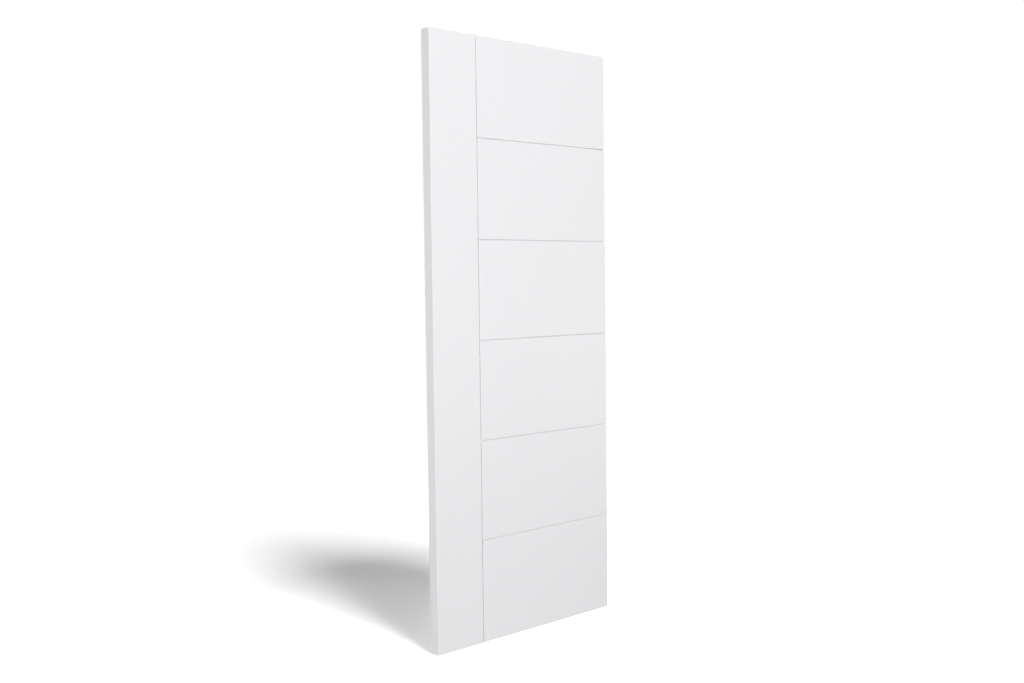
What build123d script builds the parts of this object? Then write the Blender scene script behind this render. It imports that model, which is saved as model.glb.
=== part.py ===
from build123d import *
import os

# An interior door leaf, in millimetres. X runs along the width, Y through the thickness and Z up.
# The origin is on the hinge edge, at mid-thickness, at the leaf's foot. The front face looks along -Y.

# Outside sizes of the leaf
leaf_height = 2040.0
leaf_width = 826.0
leaf_thickness = 40.0
arris_radius = 1.5

# The sheet on each face, and the strip along each long edge
facing_thickness = 8.0
lipping_width = 8.0

# The frame between the two sheets
stile_width = 45.0
top_rail_height = 60.0
bottom_rail_height = 90.0

# The routed grooves: one upright and several level ones, the same on both faces.
# The level ones start at the upright one and run out over the hinge edge.
groove_width = 3.4
groove_floor = 3.0
groove_depth = 5.0
lip_depth = 0.9
lip_reach = 0.65
band_width = 200.0
field_height = 338.0
level_grooves = 5

# How far the cutter runs on past an edge
run_out = 10.0

# Places worked out from the sizes above
half_thickness = leaf_thickness / 2
frame_thickness = leaf_thickness - 2 * facing_thickness
facing_width = leaf_width - 2 * lipping_width
core_width = facing_width - 2 * stile_width
core_height = leaf_height - top_rail_height - bottom_rail_height
centre_x = -leaf_width / 2
hinge_stile_x = -lipping_width - stile_width / 2
lock_stile_x = -leaf_width + lipping_width + stile_width / 2
upright_groove_x = -leaf_width + band_width
groove_heights = [leaf_height - field_height * row for row in range(1, level_grooves + 1)]

os.makedirs("parts", exist_ok=True)

# The leaf's outline: its four long corners are slightly rounded, and its ends are sawn square
with BuildPart() as outline:
    Box(leaf_width, leaf_thickness, leaf_height, align=(Align.MAX, Align.CENTER, Align.MIN))
    fillet(outline.edges().filter_by(Axis.Z), radius=arris_radius)

# The groove's section: a flat floor, two nearly square walls and rounded lips, with the mouth along X
with BuildSketch() as groove_section:
    with BuildLine():
        floor_half = Line((0, groove_depth), (groove_floor / 2, groove_depth))
        wall = Line(floor_half @ 1, (groove_width / 2, lip_depth))
        lip = TangentArc(wall @ 1, (groove_width / 2 + lip_reach, 0), tangent=wall % 1)
        Line(lip @ 1, (0, 0))
        mirror(about=Plane.YZ)
    make_face()

# What the cutter takes out of the front face, and the same on the back
with BuildPart() as front_grooves:
    with BuildSketch(Plane.XY.offset(-run_out)):
        with Locations((upright_groove_x, -half_thickness)):
            add(groove_section.sketch)
    extrude(amount=leaf_height + 2 * run_out)
    with BuildSketch(Plane.YZ.offset(upright_groove_x)):
        with Locations([(-half_thickness, height) for height in groove_heights]):
            add(groove_section.sketch, rotation=-90)
    extrude(amount=leaf_width - band_width + run_out)

with BuildPart() as back_grooves:
    mirror(front_grooves.part, about=Plane.XZ)

# The front sheet, between the edge strips
with BuildPart() as front_facing:
    with BuildSketch():
        with Locations((centre_x, -half_thickness + facing_thickness / 2)):
            Rectangle(facing_width, facing_thickness)
    extrude(amount=leaf_height)
    add(outline.part, mode=Mode.INTERSECT)
    add(front_grooves.part, mode=Mode.SUBTRACT)
front_facing.part.label = "front_facing"
export_step(front_facing.part, "parts/front_facing.step")

# The back sheet
with BuildPart() as back_facing:
    mirror(front_facing.part, about=Plane.XZ)
back_facing.part.label = "back_facing"
export_step(back_facing.part, "parts/back_facing.step")

# The strip on the hinge edge: the level grooves of both faces run out over its corners
with BuildPart() as hinge_lipping:
    with BuildSketch():
        with Locations((-lipping_width / 2, 0)):
            Rectangle(lipping_width, leaf_thickness)
    extrude(amount=leaf_height)
    add(outline.part, mode=Mode.INTERSECT)
    add(front_grooves.part, mode=Mode.SUBTRACT)
    add(back_grooves.part, mode=Mode.SUBTRACT)
hinge_lipping.part.label = "hinge_lipping"
export_step(hinge_lipping.part, "parts/hinge_lipping.step")

# The plain strip on the lock edge
with BuildPart() as lock_lipping:
    with BuildSketch():
        with Locations((-leaf_width + lipping_width / 2, 0)):
            Rectangle(lipping_width, leaf_thickness)
    extrude(amount=leaf_height)
    add(outline.part, mode=Mode.INTERSECT)
lock_lipping.part.label = "lock_lipping"
export_step(lock_lipping.part, "parts/lock_lipping.step")

# The two stiles of the frame run the full height, and their ends show above and below
with BuildPart() as hinge_stile:
    with BuildSketch():
        with Locations((hinge_stile_x, 0)):
            Rectangle(stile_width, frame_thickness)
    extrude(amount=leaf_height)
hinge_stile.part.label = "hinge_stile"
export_step(hinge_stile.part, "parts/hinge_stile.step")

with BuildPart() as lock_stile:
    with BuildSketch():
        with Locations((lock_stile_x, 0)):
            Rectangle(stile_width, frame_thickness)
    extrude(amount=leaf_height)
lock_stile.part.label = "lock_stile"
export_step(lock_stile.part, "parts/lock_stile.step")

# The rails stand between the stiles
with BuildPart() as top_rail:
    with BuildSketch(Plane.XY.offset(leaf_height - top_rail_height)):
        with Locations((centre_x, 0)):
            Rectangle(core_width, frame_thickness)
    extrude(amount=top_rail_height)
top_rail.part.label = "top_rail"
export_step(top_rail.part, "parts/top_rail.step")

with BuildPart() as bottom_rail:
    with BuildSketch():
        with Locations((centre_x, 0)):
            Rectangle(core_width, frame_thickness)
    extrude(amount=bottom_rail_height)
bottom_rail.part.label = "bottom_rail"
export_step(bottom_rail.part, "parts/bottom_rail.step")

# The solid board that fills the frame and backs both sheets
with BuildPart() as core:
    with BuildSketch(Plane.XY.offset(bottom_rail_height)):
        with Locations((centre_x, 0)):
            Rectangle(core_width, frame_thickness)
    extrude(amount=core_height)
core.part.label = "core"
export_step(core.part, "parts/core.step")
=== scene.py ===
import math

import bpy
from mathutils import Euler, Matrix, Vector


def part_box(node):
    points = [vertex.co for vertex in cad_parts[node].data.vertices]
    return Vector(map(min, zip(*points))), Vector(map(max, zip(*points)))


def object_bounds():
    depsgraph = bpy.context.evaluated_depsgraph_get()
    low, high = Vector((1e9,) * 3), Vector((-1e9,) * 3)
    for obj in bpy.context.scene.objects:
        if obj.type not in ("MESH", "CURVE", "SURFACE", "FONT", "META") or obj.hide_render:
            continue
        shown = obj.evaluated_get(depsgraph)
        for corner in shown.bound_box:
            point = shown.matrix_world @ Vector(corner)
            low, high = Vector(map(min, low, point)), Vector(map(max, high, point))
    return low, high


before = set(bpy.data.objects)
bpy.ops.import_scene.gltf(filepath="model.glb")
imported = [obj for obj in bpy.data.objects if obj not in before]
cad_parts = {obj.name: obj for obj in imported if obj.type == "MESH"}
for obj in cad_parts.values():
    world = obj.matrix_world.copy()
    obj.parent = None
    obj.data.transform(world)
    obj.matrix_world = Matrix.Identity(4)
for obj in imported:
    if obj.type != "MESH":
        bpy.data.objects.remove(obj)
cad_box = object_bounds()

# An interior door leaf in satin white paint. Metres; X runs along the width, Y through the
# thickness and Z up, with the origin on the hinge edge at the leaf's foot.

scene = bpy.context.scene

# The photograph's width, and where its camera stood. The angles are in degrees.
IMAGE_WIDTH = 1024
FOCAL_PIXELS = 1177.9
AXIS_PIXELS_ABOVE_CENTRE = 10.0
SENSOR_WIDTH_MM = 36.0
CAMERA_PLACE = (-3.2487, -2.9650, 1.2323)
CAMERA_YAW = 43.265
CAMERA_PITCH = -2.565
CAMERA_ROLL = -0.731

# The studio's soft lamps, which all point at the leaf's middle. Each stands so many degrees round
# from straight in front towards the lock edge, and rises so many degrees above the level.
LEAF_MIDDLE = (-0.413, 0.0, 1.0)
LAMPS = {
    "key": {"turn": 5.0, "rise": 50.5, "distance": 14.0, "size": 6.0, "power": 1150.0},
    "front_fill": {"turn": 10.0, "rise": 8.5, "distance": 8.1, "size": 3.0, "power": 190.0},
    "corner_fill": {"turn": 50.0, "rise": 6.3, "distance": 9.1, "size": 1.2, "power": 255.0},
    "hinge_fill": {"turn": -45.0, "rise": -3.8, "distance": 6.0, "size": 1.0, "power": 38.0},
    "lock_rim": {"turn": 105.0, "rise": -4.3, "distance": 8.0, "size": 0.7, "power": 255.0},
    "hinge_rim": {"turn": -130.0, "rise": -4.3, "distance": 8.0, "size": 0.7, "power": 260.0},
}

# The room sheds little light, though it is seen as plain white
ROOM_LIGHT = 0.02

# The floor: its reach each way, the grey that it sheds on the leaf, the light added to its own
# where the camera sees it, and how far from the leaf's middle its white starts and is full
FLOOR_REACH = 60.0
FLOOR_BOUNCE = 0.08
FLOOR_LIFT = 1.8
WHITE_FROM = 3.2
WHITE_BEYOND = 5.0

# The leaf's faces, ends and joints, read from the frame
(_, FRONT_FACE, FOOT), (_, BACK_FACE, HEAD) = cad_box
LOCK_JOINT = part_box("front_facing")[0].x
HINGE_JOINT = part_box("front_facing")[1].x
HALF_THICKNESS = (BACK_FACE - FRONT_FACE) / 2
HALF_HEIGHT = (HEAD - FOOT) / 2

# Colours, as shares of the light they send back
WHITE = (1, 1, 1, 1)
PAINT_WHITE = (0.86, 0.86, 0.875, 1)
PAINT_SHADE = (0.845, 0.845, 0.86, 1)
# Painted shade: a grey drawn into the grooves. The same grey also tints the edge strips' dry sawn
# ends.
PAINTED_SHADE_AND_DRY_END_GREY = (0.80, 0.80, 0.81, 1)
THIN_PAINT = (0.80, 0.79, 0.765, 1)
PRIMER_WHITE = (0.83, 0.82, 0.80, 1)
PALE_PINE = (0.70, 0.57, 0.41, 1)
DARK_PINE = (0.47, 0.31, 0.17, 1)
CHIP_PALE = (0.62, 0.48, 0.31, 1)
CHIP_DARK = (0.33, 0.22, 0.12, 1)
GLUE_BROWN = (0.24, 0.16, 0.09, 1)

# How far a colour is drawn towards a second one where its mask is full
CLOUD_SHARE = 0.55
JOINT_SHARE = 0.35
# The grooves' painted shade, and the strips' dry sawn ends, are drawn this far towards their grey
PAINTED_SHADE_AND_DRY_END_SHARE = 0.5
WORN_SHARE = 0.5
PORE_SHARE = 0.12

# How much wood the primer hides where it is thinnest and where it is thickest
PRIMER_COVER = (0.70, 0.97)

# Roughness at its least and most, what the stipple takes off or adds, and what dull places add
FACE_ROUGHNESS = (0.46, 0.52)
EDGE_ROUGHNESS = (0.46, 0.53)
TIMBER_ROUGHNESS = (0.62, 0.78)
BOARD_ROUGHNESS = (0.75, 0.9)
STIPPLE_ROUGHNESS = (-0.02, 0.02)
FACE_DULLNESS = 0.16
EDGE_DULLNESS = 0.14
REFRACTIVE_INDEX = 1.48

# Noises: their cells per metre along X, Y and Z, and how many finer layers they have
CLOUDS = ((2.4, 2.4, 1.6), 3.0)
ROLLER_LAPS = ((5.5, 1.0, 0.4), 2.0)
ROLLER_STIPPLE = ((620.0, 620.0, 620.0), 3.0)
SHEET_WAVES = ((16.0, 16.0, 11.0), 2.0)
SHEET_FIBRES = ((210.0, 1700.0, 1700.0), 4.0)
WORN_PATCHES = ((60.0, 60.0, 22.0), 4.0)
BRUSH_STREAKS = ((750.0, 750.0, 7.0), 3.0)
HARDWOOD_GRAIN = ((330.0, 330.0, 5.0), 5.0)
END_FIBRES = ((2200.0, 2200.0, 60.0), 3.0)
LONG_SWEEPS = ((1.2, 45.0, 45.0), 2.0)
LONG_FIBRES = ((30.0, 1900.0, 1900.0), 3.0)
SAW_MARKS = ((190.0, 4.0, 190.0), 1.0)
CHIP_FIBRES = ((900.0, 900.0, 900.0), 4.0)

# The particleboard's chips per metre along X, Y and Z
CHIPS = (260.0, 420.0, 260.0)

# The timber's year rings. On a stile's end they run round its pith, about 3.3 mm apart, and
# wander a little. Along a rail there are so many over the whole range of the sweeps' noise.
PITH = (-0.40, 0.09, 0.0)
RING_SCALE = 95.0
RING_WANDER = 1.6
RING_DETAIL = 2.0
LONG_RINGS = 9.0

# What most of a noise lies between, and where masks drawn from noises and chips start and are full
NOISE_RANGE = (0.3, 0.7)
CLOUD_RANGE = (0.35, 0.65)
WORN_RANGE = (0.35, 0.7)
PORE_RANGE = (0.58, 0.68)
COVER_RANGE = (0.25, 0.75)
SEAM_RANGE = (0.55, 0.8)

# The same for a rounded corner, by its normal's X times Y, and for a groove's wall, by its Z
CORNER_RANGE = (0.2, 0.5)
WALL_RANGE = (0.5, 0.8)

# How far in from a surface, or to each side of a joint, one finish turns into the next, in metres.
# In a groove this also brings in the painted shade.
GROOVE_BAND = (0.0002, 0.0015)
END_BAND = (0.0001, 0.0004)
JOINT_BAND = (0.0001, 0.0005)

# How high the fine relief stands, in millimetres
RELIEF = {
    "waves": 0.05,
    "stipple": 0.035,
    "fibres": 0.05,
    "joint": 0.03,
    "streaks": 0.04,
    "pores": 0.02,
    "saw marks": 0.12,
    "rings": 0.06,
    "chips": 0.25,
    "chip fibres": 0.1,
}


def put(tree, kind, sockets=None, **settings):
    """Add a shader node. Each socket gets a value, or a link where an output is given."""
    added = tree.nodes.new(kind)
    for name, setting in settings.items():
        setattr(added, name, setting)
    for socket, value in (sockets or {}).items():
        if isinstance(value, bpy.types.NodeSocket):
            tree.links.new(value, added.inputs[socket])
        else:
            added.inputs[socket].default_value = value
    return added


def new_material(name):
    """An empty node material, its tree, and the surface point as a vector and as X, Y and Z."""
    material = bpy.data.materials.new(name)
    material.use_nodes = True
    tree = material.node_tree
    tree.nodes.clear()
    point = put(tree, "ShaderNodeTexCoord").outputs["Object"]
    split = put(tree, "ShaderNodeSeparateXYZ", {"Vector": point})
    return material, tree, point, split.outputs


def compute(tree, operation, *values):
    """One sum on numbers or outputs."""
    return put(tree, "ShaderNodeMath", dict(enumerate(values)), operation=operation).outputs[0]


def combine(tree, operation, first, second):
    """A node with one sum on two vectors."""
    return put(tree, "ShaderNodeVectorMath", {0: first, 1: second}, operation=operation)


def distance_from(tree, coordinate, place):
    """How far a coordinate lies from a place on its axis."""
    return compute(tree, "ABSOLUTE", compute(tree, "SUBTRACT", coordinate, place))


def inverse(tree, share):
    """What a share leaves of 1."""
    return compute(tree, "SUBTRACT", 1.0, share)


def between(tree, value, low, high, start=0.0, end=1.0):
    """Carry a value from low..high over to start..end, with nothing beyond."""
    sockets = {"Value": value, "From Min": low, "From Max": high, "To Min": start, "To Max": end}
    return put(tree, "ShaderNodeMapRange", sockets).outputs["Result"]


def spread(tree, fac, start=0.0, end=1.0):
    """Carry most of a noise's range over to start..end."""
    return between(tree, fac, *NOISE_RANGE, start, end)


def noise(tree, point, cells, detail):
    """Noise from 0 to 1 with so many cells per metre along X, Y and Z."""
    scaled = combine(tree, "MULTIPLY", point, cells).outputs[0]
    sockets = {"Vector": scaled, "Scale": 1.0, "Detail": detail}
    return put(tree, "ShaderNodeTexNoise", sockets).outputs["Fac"]


def blend(tree, share, first, second):
    """A colour between two, by a share from 0 to 1."""
    sockets = {"Factor": share, 6: first, 7: second}
    return put(tree, "ShaderNodeMix", sockets, data_type="RGBA").outputs[2]


def tint(tree, colour, second, mask, share):
    """A colour drawn towards a second one, by a share where the mask is full."""
    return blend(tree, compute(tree, "MULTIPLY", mask, share), colour, second)


def raise_surface(tree, height, relief, under=None):
    """The normal of a surface whose height from 0 to 1 stands for one of the reliefs."""
    sockets = {"Height": height, "Distance": RELIEF[relief] / 1000}
    if under is not None:
        sockets["Normal"] = under
    return put(tree, "ShaderNodeBump", sockets).outputs["Normal"]


def close_material(tree, colour, roughness, normal):
    """Give the surface its shader."""
    sockets = {
        "Base Color": colour,
        "Roughness": roughness,
        "Normal": normal,
        "IOR": REFRACTIVE_INDEX,
    }
    surface = put(tree, "ShaderNodeBsdfPrincipled", sockets)
    put(tree, "ShaderNodeOutputMaterial", {"Surface": surface.outputs["BSDF"]})


def sawn_end(tree, z):
    """1 on the leaf's sawn head and foot, and 0 on its faces and edges."""
    full, none = END_BAND
    from_middle = distance_from(tree, z, FOOT + HALF_HEIGHT)
    return between(tree, from_middle, HALF_HEIGHT - none, HALF_HEIGHT - full)


def joint_line(tree, x):
    """1 on the hairlines where the face sheets meet the edge strips, and 0 elsewhere."""
    to_lock = distance_from(tree, x, LOCK_JOINT)
    to_hinge = distance_from(tree, x, HINGE_JOINT)
    return between(tree, compute(tree, "MINIMUM", to_lock, to_hinge), *JOINT_BAND, 1.0, 0.0)


def white_paint(tree, point):
    """Two whites in soft clouds, wide and faint."""
    clouds = between(tree, noise(tree, point, *CLOUDS), *CLOUD_RANGE, 0.0, CLOUD_SHARE)
    return blend(tree, clouds, PAINT_WHITE, PAINT_SHADE)


def face_paint():
    """Rolled satin paint on fibreboard: stippled flats, duller groove walls with painted shade,
    dry sawn ends.
    """
    material, tree, point, (x, y, z) = new_material("face_paint")
    none, full = GROOVE_BAND
    from_middle = compute(tree, "ABSOLUTE", y)
    in_groove = between(tree, from_middle, HALF_THICKNESS - none, HALF_THICKNESS - full)
    at_end = sawn_end(tree, z)
    at_joint = joint_line(tree, x)
    dull_and_shaded = compute(tree, "MAXIMUM", in_groove, at_end)
    laps = noise(tree, point, *ROLLER_LAPS)
    stipple = noise(tree, point, *ROLLER_STIPPLE)
    waves = noise(tree, point, *SHEET_WAVES)
    fibres = noise(tree, point, *SHEET_FIBRES)

    colour = white_paint(tree, point)
    colour = tint(tree, colour, THIN_PAINT, at_joint, JOINT_SHARE)
    # Painted shade: the grooves drawn towards a darker grey
    colour = tint(tree, colour, PAINTED_SHADE_AND_DRY_END_GREY, in_groove, PAINTED_SHADE_AND_DRY_END_SHARE)
    colour = tint(tree, colour, THIN_PAINT, at_end, spread(tree, fibres))

    roughness = spread(tree, laps, *FACE_ROUGHNESS)
    roughness = compute(tree, "ADD", roughness, spread(tree, stipple, *STIPPLE_ROUGHNESS))
    roughness = compute(tree, "ADD", roughness, compute(tree, "MULTIPLY", dull_and_shaded, FACE_DULLNESS))

    normal = raise_surface(tree, waves, "waves")
    normal = raise_surface(tree, stipple, "stipple", normal)
    normal = raise_surface(tree, compute(tree, "MULTIPLY", fibres, dull_and_shaded), "fibres", normal)
    normal = raise_surface(tree, inverse(tree, at_joint), "joint", normal)
    close_material(tree, colour, roughness, normal)
    return material


def edge_paint():
    """Brushed satin paint on a hardwood strip: streaks along the strip, thinner at its corners,
    painted shade on its groove walls and a duller grey on its sawn ends.
    """
    material, tree, point, (x, _, z) = new_material("edge_paint")
    normals = put(tree, "ShaderNodeNewGeometry").outputs["Normal"]
    facing = put(tree, "ShaderNodeSeparateXYZ", {"Vector": normals}).outputs
    rounded = compute(tree, "ABSOLUTE", compute(tree, "MULTIPLY", facing["X"], facing["Y"]))
    at_corner = between(tree, rounded, *CORNER_RANGE)
    patches = between(tree, noise(tree, point, *WORN_PATCHES), *WORN_RANGE)
    worn = compute(tree, "MULTIPLY", at_corner, patches)
    in_groove = between(tree, compute(tree, "ABSOLUTE", facing["Z"]), *WALL_RANGE)
    at_joint = joint_line(tree, x)
    dull_and_shaded = compute(tree, "MAXIMUM", in_groove, sawn_end(tree, z))
    streaks = noise(tree, point, *BRUSH_STREAKS)
    pores = between(tree, noise(tree, point, *HARDWOOD_GRAIN), *PORE_RANGE)

    colour = white_paint(tree, point)
    colour = tint(tree, colour, THIN_PAINT, pores, PORE_SHARE)
    colour = tint(tree, colour, THIN_PAINT, at_joint, JOINT_SHARE)
    colour = tint(tree, colour, THIN_PAINT, worn, WORN_SHARE)
    # Painted shade on the groove walls, and a duller grey on the dry sawn ends
    colour = tint(tree, colour, PAINTED_SHADE_AND_DRY_END_GREY, dull_and_shaded, PAINTED_SHADE_AND_DRY_END_SHARE)

    roughness = spread(tree, streaks, *EDGE_ROUGHNESS)
    roughness = compute(tree, "ADD", roughness, compute(tree, "MULTIPLY", dull_and_shaded, EDGE_DULLNESS))

    normal = raise_surface(tree, streaks, "streaks")
    normal = raise_surface(tree, inverse(tree, pores), "pores", normal)
    normal = raise_surface(tree, inverse(tree, at_joint), "joint", normal)
    close_material(tree, colour, roughness, normal)
    return material


def end_rings(tree, point):
    """Year rings on an end sawn across the grain."""
    sockets = {
        "Vector": combine(tree, "SUBTRACT", point, PITH).outputs[0],
        "Scale": RING_SCALE,
        "Distortion": RING_WANDER,
        "Detail": RING_DETAIL,
    }
    rings = put(tree, "ShaderNodeTexWave", sockets, wave_type="RINGS", rings_direction="Z")
    return rings.outputs["Fac"]


def long_rings(tree, point):
    """Year rings on an edge sawn along the grain, in long sweeps."""
    sweeps = noise(tree, point, *LONG_SWEEPS)
    return compute(tree, "FRACT", compute(tree, "MULTIPLY", sweeps, LONG_RINGS))


def primed_timber(name, find_rings, fibre_noise):
    """Sawn softwood whose rings show faintly through thin primer."""
    material, tree, point, _ = new_material(name)
    rings = find_rings(tree, point)
    fibres = noise(tree, point, *fibre_noise)
    saw_marks = noise(tree, point, *SAW_MARKS)

    wood = blend(tree, rings, PALE_PINE, DARK_PINE)
    colour = blend(tree, between(tree, fibres, *COVER_RANGE, *PRIMER_COVER), wood, PRIMER_WHITE)
    roughness = spread(tree, fibres, *TIMBER_ROUGHNESS)
    normal = raise_surface(tree, saw_marks, "saw marks")
    normal = raise_surface(tree, rings, "rings", normal)
    normal = raise_surface(tree, fibres, "fibres", normal)
    close_material(tree, colour, roughness, normal)
    return material


def core_board():
    """Raw particleboard: flat chips of several browns in darker glue."""
    material, tree, point, _ = new_material("core_board")
    scaled = combine(tree, "MULTIPLY", point, CHIPS).outputs[0]
    chips = put(tree, "ShaderNodeTexVoronoi", {"Vector": scaled, "Scale": 1.0}).outputs
    shade = put(tree, "ShaderNodeSeparateColor", {"Color": chips["Color"]}).outputs[0]
    seams = between(tree, chips["Distance"], *SEAM_RANGE)
    fibres = noise(tree, point, *CHIP_FIBRES)

    colour = blend(tree, seams, blend(tree, shade, CHIP_PALE, CHIP_DARK), GLUE_BROWN)
    roughness = spread(tree, fibres, *BOARD_ROUGHNESS)
    normal = raise_surface(tree, inverse(tree, seams), "chips")
    normal = raise_surface(tree, fibres, "chip fibres", normal)
    close_material(tree, colour, roughness, normal)
    return material


def add_camera():
    """Stand the camera where the photograph's stood, turned about Z, then tilted, then rolled."""
    data = bpy.data.cameras.new("camera")
    data.sensor_width = SENSOR_WIDTH_MM
    data.lens = FOCAL_PIXELS * SENSOR_WIDTH_MM / IMAGE_WIDTH
    data.shift_y = -AXIS_PIXELS_ABOVE_CENTRE / IMAGE_WIDTH
    camera = bpy.data.objects.new("camera", data)
    scene.collection.objects.link(camera)
    turn = Matrix.Rotation(math.radians(-CAMERA_YAW), 4, "Z")
    tilt = Matrix.Rotation(math.radians(90 + CAMERA_PITCH), 4, "X")
    roll = Matrix.Rotation(math.radians(CAMERA_ROLL), 4, "Z")
    camera.matrix_world = Matrix.Translation(CAMERA_PLACE) @ turn @ tilt @ roll
    scene.camera = camera


def seen_directly(tree):
    """1 for a camera, glossy or transmission ray, and 0 for light that falls on the leaf."""
    rays = put(tree, "ShaderNodeLightPath").outputs
    clear = compute(tree, "MAXIMUM", rays["Is Glossy Ray"], rays["Is Transmission Ray"])
    return compute(tree, "MAXIMUM", rays["Is Camera Ray"], clear)


def mix_shaders(tree, share, first, second):
    """A shader between two, by a share from 0 to 1."""
    return put(tree, "ShaderNodeMixShader", {0: share, 1: first, 2: second}).outputs[0]


def add_floor():
    """A plain floor, pale and with the leaf's shadow near it, and plain white further off."""
    mesh = bpy.data.meshes.new("floor")
    signs = ((-1, -1), (1, -1), (1, 1), (-1, 1))
    corners = [(x * FLOOR_REACH, y * FLOOR_REACH, FOOT) for x, y in signs]
    mesh.from_pydata(corners, [], [(0, 1, 2, 3)])
    floor = bpy.data.objects.new("floor", mesh)
    scene.collection.objects.link(floor)
    material, tree, point, _ = new_material("floor")
    from_leaf = combine(tree, "DISTANCE", point, LEAF_MIDDLE).outputs["Value"]
    far_off = between(tree, from_leaf, WHITE_FROM, WHITE_BEYOND)
    bounce, pale, lift = (
        put(tree, "ShaderNodeBsdfDiffuse", {"Color": (grey, grey, grey, 1)}).outputs[0]
        for grey in (FLOOR_BOUNCE, 1.0, FLOOR_LIFT)
    )
    lifted = put(tree, "ShaderNodeAddShader", {0: pale, 1: lift}).outputs[0]
    in_view = put(tree, "ShaderNodeLightPath").outputs["Is Camera Ray"]
    near = mix_shaders(tree, in_view, pale, lifted)
    white = put(tree, "ShaderNodeEmission", {"Color": WHITE, "Strength": 1.0}).outputs[0]
    seen = mix_shaders(tree, far_off, near, white)
    surface = mix_shaders(tree, seen_directly(tree), bounce, seen)
    put(tree, "ShaderNodeOutputMaterial", {"Surface": surface})
    mesh.materials.append(material)


def add_lamp(name, turn, rise, distance, size, power):
    """A square soft lamp, turned towards the leaf's middle."""
    data = bpy.data.lights.new(name, "AREA")
    data.size = size
    data.energy = power
    lamp = bpy.data.objects.new(name, data)
    away = Vector((0, -distance, 0))
    away.rotate(Euler((math.radians(-rise), 0, math.radians(-turn))))
    lamp.location = Vector(LEAF_MIDDLE) + away
    lamp.rotation_euler = (-away).to_track_quat("-Z", "Y").to_euler()
    scene.collection.objects.link(lamp)


def add_room():
    """A dim room all round, seen as plain white."""
    world = bpy.data.worlds.new("room")
    scene.world = world
    world.use_nodes = True
    tree = world.node_tree
    tree.nodes.clear()
    light, seen = (
        put(tree, "ShaderNodeBackground", {"Color": WHITE, "Strength": strength}).outputs[0]
        for strength in (ROOM_LIGHT, 1.0)
    )
    surface = mix_shaders(tree, seen_directly(tree), light, seen)
    put(tree, "ShaderNodeOutputWorld", {"Surface": surface})


# Each node's finish: pieces of one kind share one material
sheet_finish = face_paint()
strip_finish = edge_paint()
stile_finish = primed_timber("primed_timber_end", end_rings, END_FIBRES)
rail_finish = primed_timber("primed_timber_long", long_rings, LONG_FIBRES)
finishes = {
    "front_facing": sheet_finish,
    "back_facing": sheet_finish,
    "hinge_lipping": strip_finish,
    "lock_lipping": strip_finish,
    "hinge_stile": stile_finish,
    "lock_stile": stile_finish,
    "top_rail": rail_finish,
    "bottom_rail": rail_finish,
    "core": core_board(),
}
for name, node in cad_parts.items():
    node.data.materials.clear()
    node.data.materials.append(finishes[name])

scene.view_settings.view_transform = "Standard"
add_camera()
add_floor()
for lamp_name, lamp in LAMPS.items():
    add_lamp(lamp_name, **lamp)
add_room()
